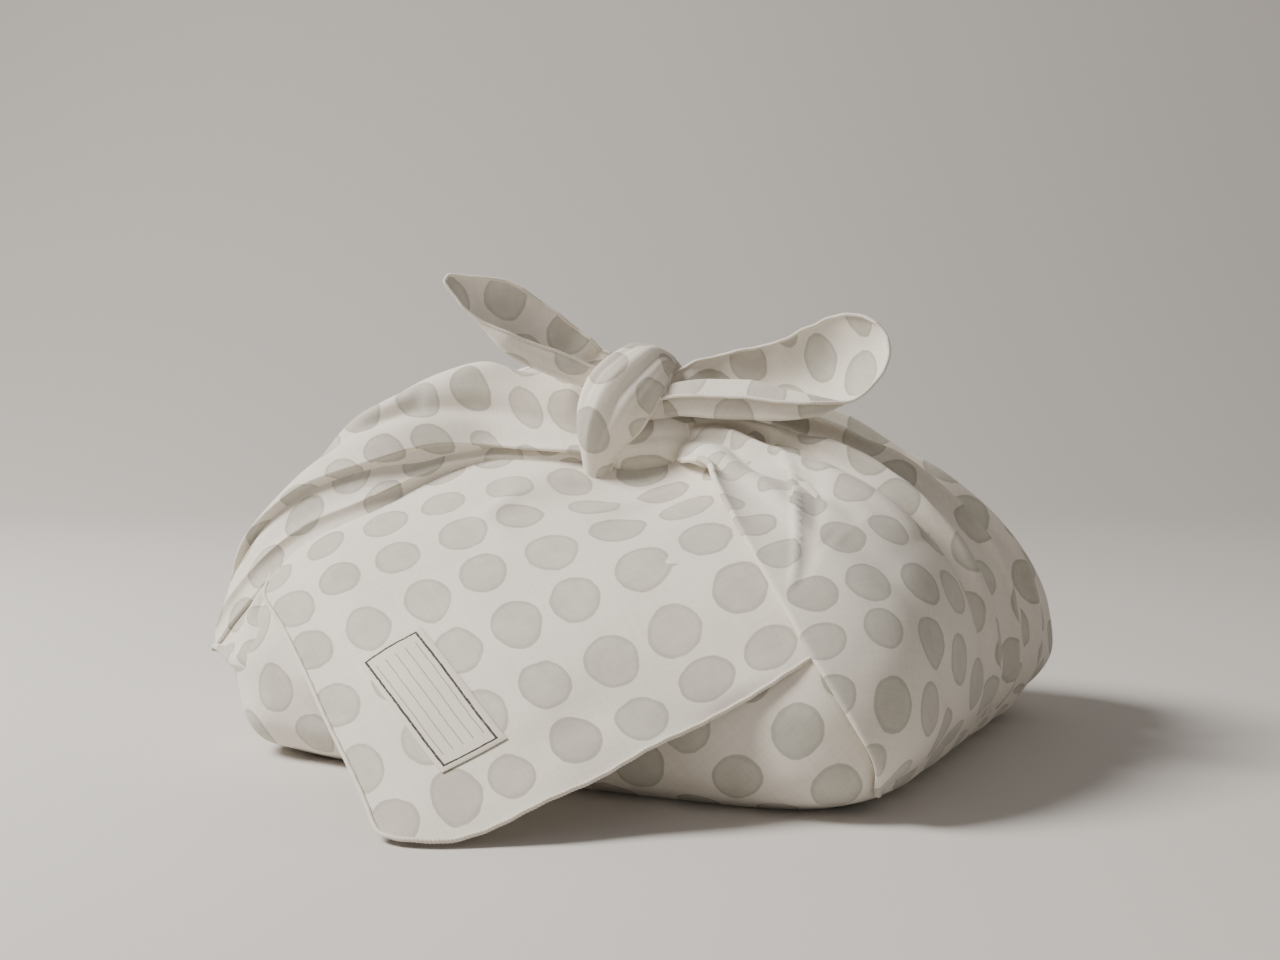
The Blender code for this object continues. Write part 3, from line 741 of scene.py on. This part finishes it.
def tip_grid(rows, steps_along, lean, hang):
    """A free end: its face from the upper hem down, the fold along its foot, and the cuff that comes up
    in front. It leans back, and the cuff's rim hangs over by a share of its height."""
    along = np.linspace(0, len(rows) - 1, steps_along)
    row = table_at(rows, range(len(rows)), along)
    frame = knot_frame()
    centre = row[:, 0:3] @ frame
    turn = np.radians(row[:, 4])
    across = np.stack([np.cos(turn), np.sin(turn), -lean + 0 * turn], -1) @ frame
    forward = unit(np.gradient(centre, axis=0))
    across = unit(across - np.sum(across * forward, axis=-1)[:, None] * forward)
    front = np.cross(forward, across)
    front *= np.where(front @ frame[2] < 0, -1, 1)[:, None]
    width, cup, cuff = row[:, 3] * math.hypot(1, lean), row[:, 5], np.maximum(row[:, 6], 0.02)
    bunched = np.exp(-along / 2.2) * np.sin(2 * math.pi * along / 1.15)
    lines = []
    for share in np.linspace(0, 1, 34):
        bulge = cup * (1 - (2 * share - 1) ** 2)
        ruffle = (1.5 * (1 - share) ** 2 * bunched)[:, None]
        face = centre + ((0.5 - share) * width)[:, None] * across - bulge[:, None] * front
        lines.append(face + ruffle * front)
    foot = lines[-1]
    radius = np.minimum(1.6, cuff / 3)
    for angle in np.linspace(0, math.pi, 8)[1:]:
        shift = math.sin(angle) * -across + (1 - math.cos(angle)) * front
        lines.append(foot + radius[:, None] * shift)
    start = lines[-1]
    for share in np.linspace(0, 1, 14)[1:]:
        forth = 1.6 * math.sin(math.pi * share) + 1.2 * share
        lines.append(start + share * cuff[:, None] * across + forth * (cuff / 10)[:, None] * front)
    if hang:
        top = lines[-1]
        bend = np.minimum(1.2, cuff / 4)[:, None]
        for angle in np.linspace(0, math.pi, 8)[1:]:
            lines.append(top + bend * (math.sin(angle) * across + (1 - math.cos(angle)) * front))
        start = lines[-1]
        for share in np.linspace(0, 1, 10)[1:]:
            lines.append(start + hang * share * cuff[:, None] * (0.25 * front - across))
    return KNOT + np.stack(lines, axis=1)


def resampled(path, spacing):
    steps = np.linalg.norm(np.diff(path, axis=0), axis=1)
    place = np.concatenate([[0], np.cumsum(steps)])
    at = np.linspace(0, place[-1], max(int(place[-1] / spacing), 4))
    return np.stack([np.interp(at, place, path[:, k]) for k in range(3)], -1), at


def thread(sheet, path, radius, beads=1.35, spacing=0.45, sides=8):
    """An overlocked edge: a cord whose stitches stand out along it."""
    line, at = resampled(path, spacing)
    for _ in range(3):
        line[1:-1] = 0.5 * line[1:-1] + 0.25 * (line[:-2] + line[2:])
    forward = unit(np.gradient(line, axis=0))
    side = np.empty_like(line)
    up = np.array((0.3, -0.5, 1.0))
    up -= up @ forward[0] * forward[0]
    side[0] = up / np.linalg.norm(up)
    for k in range(1, len(line)):
        step = side[k - 1] - side[k - 1] @ forward[k] * forward[k]
        side[k] = step / np.linalg.norm(step)
    other = np.cross(forward, side)
    angle = np.linspace(0, 2 * math.pi, sides, endpoint=False)
    bead = radius * (1 + 0.16 * np.sin(2 * math.pi * at / beads)[:, None] * np.ones(sides)[None, :])
    wobble = radius * 0.12 * np.sin(2 * math.pi * at / 9.0)[:, None]
    ring = np.cos(angle)[None, :, None] * side[:, None, :] + np.sin(angle)[None, :, None] * other[:, None, :]
    points = line[:, None, :] + bead[..., None] * ring + wobble[..., None] * side[:, None, :]
    along = np.broadcast_to(at[:, None], bead.shape)
    flat = np.stack([along, np.broadcast_to(angle[None, :], bead.shape)], -1)
    sheet.grid(points, flat, closed=True)


class Shader:
    """A material's node tree, built a node at a time."""

    def __init__(self, name):
        self.material = bpy.data.materials.new(name)
        self.material.use_nodes = True
        self.tree = self.material.node_tree
        self.principled = self.tree.nodes["Principled BSDF"]

    def node(self, kind, **settings):
        made = self.tree.nodes.new(kind)
        for key, value in settings.items():
            setattr(made, key, value)
        return made

    def wire(self, source, target):
        self.tree.links.new(source, target)

    def value(self, operation, first, second=0.0, third=0.0):
        made = self.node("ShaderNodeMath", operation=operation)
        for place, given in enumerate((first, second, third)):
            if isinstance(given, (int, float)):
                made.inputs[place].default_value = given
            else:
                self.wire(given, made.inputs[place])
        return made.outputs[0]

    def ramp(self, source, low, high, start=0.0, end=1.0):
        made = self.node("ShaderNodeMapRange", interpolation_type="SMOOTHSTEP")
        self.wire(source, made.inputs["Value"])
        for name, given in (("From Min", low), ("From Max", high), ("To Min", start), ("To Max", end)):
            if isinstance(given, (int, float)):
                made.inputs[name].default_value = given
            else:
                self.wire(given, made.inputs[name])
        return made.outputs[0]

    def mix(self, share, first, second):
        made = self.node("ShaderNodeMix", data_type="RGBA")
        for name, given in ((0, share), (6, first), (7, second)):
            if isinstance(given, (int, float)):
                made.inputs[name].default_value = given
            elif isinstance(given, tuple):
                made.inputs[name].default_value = (*given, 1)
            else:
                self.wire(given, made.inputs[name])
        return made.outputs[2]

    def noise(self, vector, scale, detail=2.0, roughness=0.5):
        made = self.node("ShaderNodeTexNoise")
        self.wire(vector, made.inputs["Vector"])
        made.inputs["Scale"].default_value = scale
        made.inputs["Detail"].default_value = detail
        made.inputs["Roughness"].default_value = roughness
        return made

    def scaled(self, vector, x, y, z=1.0):
        made = self.node("ShaderNodeVectorMath", operation="MULTIPLY")
        self.wire(vector, made.inputs[0])
        made.inputs[1].default_value = (x, y, z)
        return made.outputs[0]


def weave(shader, place, thread_width, strength, distance):
    """Bump of a plain weave whose threads vary along their length."""
    split = shader.node("ShaderNodeSeparateXYZ")
    shader.wire(place, split.inputs[0])
    turns = 2 * math.pi / (2 * thread_width)
    warp = shader.value("SINE", shader.value("MULTIPLY", split.outputs[0], turns))
    weft = shader.value("SINE", shader.value("MULTIPLY", split.outputs[1], turns))
    woven = shader.value("MULTIPLY", warp, weft)
    slub_warp = shader.noise(shader.scaled(place, 900, 45), 1.0).outputs[0]
    slub_weft = shader.noise(shader.scaled(place, 45, 900), 1.0).outputs[0]
    slubs = shader.value("ADD", slub_warp, slub_weft)
    height = shader.value("MULTIPLY_ADD", woven, 0.35, slubs)
    bump = shader.node("ShaderNodeBump")
    bump.inputs["Strength"].default_value = strength
    bump.inputs["Distance"].default_value = distance
    shader.wire(height, bump.inputs["Height"])
    return bump.outputs[0], slubs


def cotton():
    shader = Shader("dotted_cotton")
    uv = shader.node("ShaderNodeUVMap", uv_map="Cloth").outputs[0]
    drift = shader.node("ShaderNodeVectorMath", operation="SUBTRACT")
    wobble = shader.noise(uv, 60.0, 3.0, 0.55)
    shader.wire(wobble.outputs["Color"], drift.inputs[0])
    drift.inputs[1].default_value = (0.5, 0.5, 0.5)
    cells = shader.scaled(uv, 1000 / DOT_PITCH, 1000 / DOT_PITCH)
    bent = shader.node("ShaderNodeVectorMath", operation="MULTIPLY_ADD")
    shader.wire(drift.outputs[0], bent.inputs[0])
    bent.inputs[1].default_value = (0.16, 0.16, 0)
    shader.wire(cells, bent.inputs[2])
    dots = shader.node("ShaderNodeTexVoronoi", voronoi_dimensions="2D", feature="F1")
    dots.inputs["Scale"].default_value = 1.0
    dots.inputs["Randomness"].default_value = 0.16
    shader.wire(bent.outputs[0], dots.inputs["Vector"])
    chance = shader.node("ShaderNodeSeparateColor")
    shader.wire(dots.outputs["Color"], chance.inputs[0])
    size = shader.value("MULTIPLY_ADD", chance.outputs[0], 0.05, 0.345)
    edge = shader.value("SUBTRACT", dots.outputs["Distance"], size)
    inside = shader.ramp(edge, -0.012, 0.012, 1.0, 0.0)
    rim = shader.value("MULTIPLY", shader.ramp(edge, -0.085, -0.012, 0.0, 1.0), inside)
    wash = shader.noise(uv, 130.0, 4.0, 0.6).outputs[0]
    depth = shader.value("MULTIPLY_ADD", chance.outputs[1], 0.22, 0.62)
    depth = shader.value("MULTIPLY_ADD", shader.value("SUBTRACT", wash, 0.5), 0.55, depth)
    depth = shader.value("MULTIPLY_ADD", rim, 0.28, depth)
    depth = shader.value("MULTIPLY", depth, inside)
    tint = shader.mix(shader.noise(uv, 14.0, 2.0).outputs[0], (0.79, 0.73, 0.64), (0.82, 0.77, 0.68))
    ink = shader.mix(chance.outputs[2], (0.455, 0.445, 0.385), (0.48, 0.445, 0.38))
    dyed = shader.mix(depth, tint, ink)
    normal, slubs = weave(shader, uv, 0.00042, 0.22, 0.0003)
    streak = shader.ramp(slubs, 0.7, 1.3, 0.965, 1.03)
    shade = shader.node("ShaderNodeVectorMath", operation="SCALE")
    shader.wire(dyed, shade.inputs[0])
    shader.wire(streak, shade.inputs["Scale"])
    shader.wire(shade.outputs[0], shader.principled.inputs["Base Color"])
    shader.wire(normal, shader.principled.inputs["Normal"])
    shader.principled.inputs["Roughness"].default_value = 0.9
    shader.principled.inputs["Specular IOR Level"].default_value = 0.25
    shader.principled.inputs["Sheen Weight"].default_value = 0.25
    shader.principled.inputs["Sheen Roughness"].default_value = 0.6
    return shader.material


def thread_material():
    shader = Shader("hem_thread")
    uv = shader.node("ShaderNodeUVMap", uv_map="Cloth").outputs[0]
    patch = shader.noise(uv, 400.0, 2.0).outputs[0]
    tint = shader.mix(patch, (0.70, 0.64, 0.54), (0.82, 0.77, 0.68))
    shader.wire(tint, shader.principled.inputs["Base Color"])
    shader.principled.inputs["Roughness"].default_value = 0.8
    shader.principled.inputs["Sheen Weight"].default_value = 0.3
    return shader.material


def label_material():
    shader = Shader("label_tape")
    uv = shader.node("ShaderNodeUVMap", uv_map="Cloth").outputs[0]
    wobble = shader.noise(uv, 260.0, 3.0, 0.6)
    bent = shader.node("ShaderNodeVectorMath", operation="MULTIPLY_ADD")
    shader.wire(wobble.outputs["Color"], bent.inputs[0])
    bent.inputs[1].default_value = (0.0007, 0.0007, 0)
    shader.wire(uv, bent.inputs[2])
    split = shader.node("ShaderNodeSeparateXYZ")
    shader.wire(bent.outputs[0], split.inputs[0])
    half_length, half_width = LABEL_LENGTH * MM / 2, LABEL_WIDTH * MM / 2
    border = 0.0026
    from_end = shader.value("SUBTRACT", half_length - border, shader.value("ABSOLUTE", split.outputs[0]))
    from_side = shader.value("SUBTRACT", half_width - border, shader.value("ABSOLUTE", split.outputs[1]))
    off = shader.value("ABSOLUTE", shader.value("MINIMUM", from_end, from_side))
    line = shader.ramp(off, 0.00032, 0.0006, 1.0, 0.0)
    ruled = shader.value("PINGPONG", split.outputs[1], 0.0021)
    near = shader.ramp(ruled, 0.00012, 0.0003, 1.0, 0.0)
    off_end = shader.ramp(from_end, 0.005, 0.0053)
    within = shader.value("MULTIPLY", off_end, shader.ramp(from_side, 0.002, 0.0023))
    rules = shader.value("MULTIPLY", shader.value("MULTIPLY", near, within), 0.55)
    ink = shader.value("MAXIMUM", line, rules)
    tape = shader.mix(shader.noise(uv, 90.0, 3.0).outputs[0], (0.70, 0.655, 0.55), (0.76, 0.72, 0.62))
    wear = shader.ramp(shader.noise(uv, 900.0, 2.0).outputs[0], 0.25, 0.5, 0.75, 1.0)
    worn = shader.value("MULTIPLY", ink, wear)
    shader.wire(shader.mix(worn, tape, (0.03, 0.028, 0.025)), shader.principled.inputs["Base Color"])
    normal, _ = weave(shader, uv, 0.0003, 0.25, 0.0002)
    shader.wire(normal, shader.principled.inputs["Normal"])
    shader.principled.inputs["Roughness"].default_value = 0.8
    return shader.material


def plain(name, colour, roughness):
    shader = Shader(name)
    shader.principled.inputs["Base Color"].default_value = (*colour, 1)
    shader.principled.inputs["Roughness"].default_value = roughness
    return shader.material


def build_cloth(material):
    sheet = Sheet()
    flap_face, flat = flap_grid(FLAP_STEPS)
    sheet.grid(flap_face, printed(flat, "flap"))
    flap_hem = np.concatenate([flap_face[::-1, 0], flap_face[0, 1:FLAP_HEM_END]])

    along = np.linspace(0, len(RIGHT_END) - 1, RIGHT_STEPS)
    near_knot = np.exp(-(((along - 1.7) / 1.2) ** 2))[:, None]
    right = gather_grid(RIGHT_END, RIGHT_FOLDS, RIGHT_STEPS, 120)
    right = raised(right, 1.6 + 4.5 * near_knot, 7.0 + 4 * near_knot)
    across = np.linspace(0, 1, right.shape[1]) ** EDGE_EASE
    throat = table_at(np.array(THROAT) @ knot_frame() + KNOT, (0, RIDGE_AT, 1), across)
    drawn = (np.clip(1 - along / THROAT_ROWS, 0, 1) ** 1.3)[:, None, None]
    right = (1 - drawn) * right + drawn * throat
    right = turned_under(turned_under(right, True, 1.2, 12), False, 1.0, 10)
    lower, upper = left_layers()
    for name, points in (("left_strip", lower), ("left_end", upper), ("right_end", right)):
        flat = flattened(points, by_arcs(points), 300)
        sheet.grid(points, printed(flat, name))

    for name, start, end in (("front", -math.pi - 0.15, 0.15), ("back", -0.1, math.pi + 0.1)):
        points = core_grid(start, end, 150, 70)
        normals = outward(points, grid_normals(points))
        relief = 0.8 * waves(points[..., 0] * 1.2, points[..., 2] * 1.5 + points[..., 1], 21)
        front = points[..., 1] < -20
        hidden = np.clip((points[..., 2] - 88) / 12, 0, 1)
        relief = relief - 6.0 * hidden * (front if name == "front" else 0 * front)
        flat = flattened(points, by_arcs(points), 400)
        points = hollowed(points + (relief * np.clip(points[..., 2] / 8, 0, 1))[..., None] * normals)
        sheet.grid(points, printed(flat, name))
    direction = np.linspace(0, 2 * math.pi, 120, endpoint=False)
    rim = core_radius(direction, 0 * direction)
    rings = np.linspace(1.0, 0.02, 12)[:, None] * rim[None, :]
    length, depth = rings * np.cos(direction), rings * np.sin(direction)
    points = np.stack([AXIS[0] + length, AXIS[1] + depth, 0 * rings], -1)
    sheet.grid(points, points[..., :2], closed=True)
    return sheet.object("wrap_cloth", material), flap_hem, flap_face


def build_knot(material):
    sheet = Sheet()
    strands = []
    for rows, creases in ((OVER_STRAND, OVER_CREASES), (CROSS_STRAND, CROSS_CREASES)):
        points = strand_rings(rows, 90, 72, creases)
        flat = flattened(points, by_arcs(points), 200)
        sheet.grid(points, printed(flat, "knot"), closed=True)
        strands.append(points)
    over, crossing = strands
    hem_lines = (over[18:84, 2], crossing[56, 8:30])
    centre = np.array(KNOT_HEART[0]) @ knot_frame() + KNOT
    radii = KNOT_HEART[1]
    turn = np.linspace(0, 2 * math.pi, 40, endpoint=False)[None, :]
    rise = np.linspace(-math.pi / 2 + 0.02, math.pi / 2 - 0.02, 24)[:, None]
    points = np.stack(
        [
            centre[0] + radii[0] * np.cos(turn) * np.cos(rise),
            centre[1] + radii[1] * np.sin(turn) * np.cos(rise),
            centre[2] + radii[2] * np.sin(rise) + 0 * turn,
        ],
        -1,
    )
    sheet.grid(points, points[..., [0, 2]], closed=True)
    return sheet.object("knot", material), hem_lines


def build_tips(material):
    sheet = Sheet()
    edges = []
    for rows, lean, hang in ((LEFT_TIP, 0.35, 0), (RIGHT_TIP, 0.5, 0.6)):
        points = tip_grid(rows, 90, lean, hang)
        flat = flattened(points, by_arcs(points), 200)
        sheet.grid(points, printed(flat, "tips"))
        edges.append(np.concatenate([points[:, 0], points[-1, 1:-1], points[::-1, -1]]))
    return sheet.object("free_ends", material), edges


def build_label(face, material):
    steps = face.shape[0] - 1
    normals = outward(face, grid_normals(face))
    columns_at = np.linspace(-0.5, 0.5, 29) * LABEL_WIDTH
    across, along = np.meshgrid(columns_at, np.linspace(-0.5, 0.5, 61) * LABEL_LENGTH)
    up = LABEL_UP + along * math.cos(LABEL_TURN) + across * math.sin(LABEL_TURN)
    over = LABEL_OVER - along * math.sin(LABEL_TURN) + across * math.cos(LABEL_TURN)
    row = (up / FLAP[-1].from_tip) ** (1 / FLAP_SPREAD) * steps
    column = (over / FLAP_WIDTH) ** (1 / FLAP_SPREAD) * steps

    def at(grid):
        low, left = row.astype(int), column.astype(int)
        down, right = (row - low)[..., None], (column - left)[..., None]
        near = grid[low, left] * (1 - right) + grid[low, left + 1] * right
        far = grid[low + 1, left] * (1 - right) + grid[low + 1, left + 1] * right
        return near * (1 - down) + far * down

    under = at(face) + 0.3 * at(normals)
    rim = np.minimum(LABEL_WIDTH / 2 - np.abs(across), LABEL_LENGTH / 2 - np.abs(along))
    top = under + (0.35 + 0.35 * np.clip(rim / 1.2, 0, 1))[..., None] * at(normals)
    sheet = Sheet()
    flat = np.stack([along, across], -1)
    sheet.grid(top, flat)
    loop = [(0, k) for k in range(29)] + [(k, 28) for k in range(1, 61)]
    loop += [(60, k) for k in range(27, -1, -1)] + [(k, 0) for k in range(59, 0, -1)]
    rows, columns = np.array(loop).T
    side = np.stack([top[rows, columns], under[rows, columns]], 0)
    sheet.grid(side, np.stack([flat[rows, columns]] * 2, 0), closed=True)
    return sheet.object("label_patch", material)


def stage():
    """A pale floor that curves up behind the bundle, square to the camera."""
    rise = np.linspace(0, math.pi / 2, 25)
    curve = [(0.9 + 0.9 * math.sin(a), 0.9 - 0.9 * math.cos(a)) for a in rise]
    profile = [(-3.0, 0.0)] + curve + [(1.8, 4.0)]
    c, s = math.cos(CAMERA_HEADING), math.sin(CAMERA_HEADING)
    verts = []
    for ahead, height in profile:
        for aside in (-5.0, 5.0):
            verts.append((aside * c - ahead * s, aside * s + ahead * c, height - 0.0004))
    faces = [(2 * k, 2 * k + 1, 2 * k + 3, 2 * k + 2) for k in range(len(profile) - 1)]
    me = bpy.data.meshes.new("floor")
    me.from_pydata(verts, [], faces)
    me.polygons.foreach_set("use_smooth", [True] * len(faces))
    me.materials.append(plain("pale_floor", (0.66, 0.635, 0.61), 0.9))
    floor = bpy.data.objects.new("floor", me)
    bpy.context.scene.collection.objects.link(floor)


def area_light(name, place, target, size, power, colour):
    data = bpy.data.lights.new(name, "AREA")
    data.shape = "DISK"
    data.size = size
    data.energy = power
    data.color = colour
    light = bpy.data.objects.new(name, data)
    light.location = place
    light.rotation_mode = "QUATERNION"
    light.rotation_quaternion = (Vector(target) - Vector(place)).to_track_quat("-Z", "Y")
    bpy.context.scene.collection.objects.link(light)


def lights():
    area_light("window", (-1.05, -0.6, 1.25), (0, 0, 0.08), 0.7, 50, (1.0, 0.965, 0.915))
    area_light("room", (1.3, -1.1, 0.9), (0, 0, 0.08), 1.6, 1.5, (1.0, 0.95, 0.91))
    world = bpy.data.worlds.new("studio")
    world.use_nodes = True
    back = world.node_tree.nodes["Background"]
    back.inputs[0].default_value = (0.87, 0.82, 0.77, 1)
    back.inputs[1].default_value = 0.28
    bpy.context.scene.world = world


CAMERA_HEIGHT = 0.161
CAMERA_AHEAD = 0.7548  # from the camera to the object, along the floor
CAMERA_ASIDE = 0.004
CAMERA_HEADING = math.radians(25.2)
CAMERA_PITCH = math.radians(4.5)
CAMERA_LENS = 52.03


def camera():
    data = bpy.data.cameras.new("camera")
    data.sensor_width = 36
    data.lens = CAMERA_LENS
    data.clip_start = 0.01
    seen = bpy.data.objects.new("camera", data)
    c, s = math.cos(CAMERA_HEADING), math.sin(CAMERA_HEADING)
    right = Vector((c, s, 0))
    ahead = Vector((-s, c, 0))
    place = -CAMERA_AHEAD * ahead - CAMERA_ASIDE * right
    place.z = CAMERA_HEIGHT
    forward = math.cos(CAMERA_PITCH) * ahead - math.sin(CAMERA_PITCH) * Vector((0, 0, 1))
    up = right.cross(forward)
    turn = Matrix((right, up, -forward)).transposed().to_4x4()
    seen.matrix_world = Matrix.Translation(place) @ turn
    bpy.context.scene.collection.objects.link(seen)
    bpy.context.scene.camera = seen


camera()
lights()
stage()
cloth_material = cotton()
thread_look = thread_material()
cloth, flap_hem, flap_face = build_cloth(cloth_material)
knot, knot_edges = build_knot(cloth_material)
tips, tip_edges = build_tips(cloth_material)
label = build_label(flap_face, label_material())
hem = Sheet()
for edge, radius in zip((flap_hem, *tip_edges, *knot_edges), (0.8, 0.7, 0.7, 0.9, 0.6)):
    thread(hem, edge, radius)
hems = hem.object("hem", thread_look)

for piece in (cloth, knot, tips, label, hems):
    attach(piece, "root")
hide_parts("cloth")
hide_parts("label")
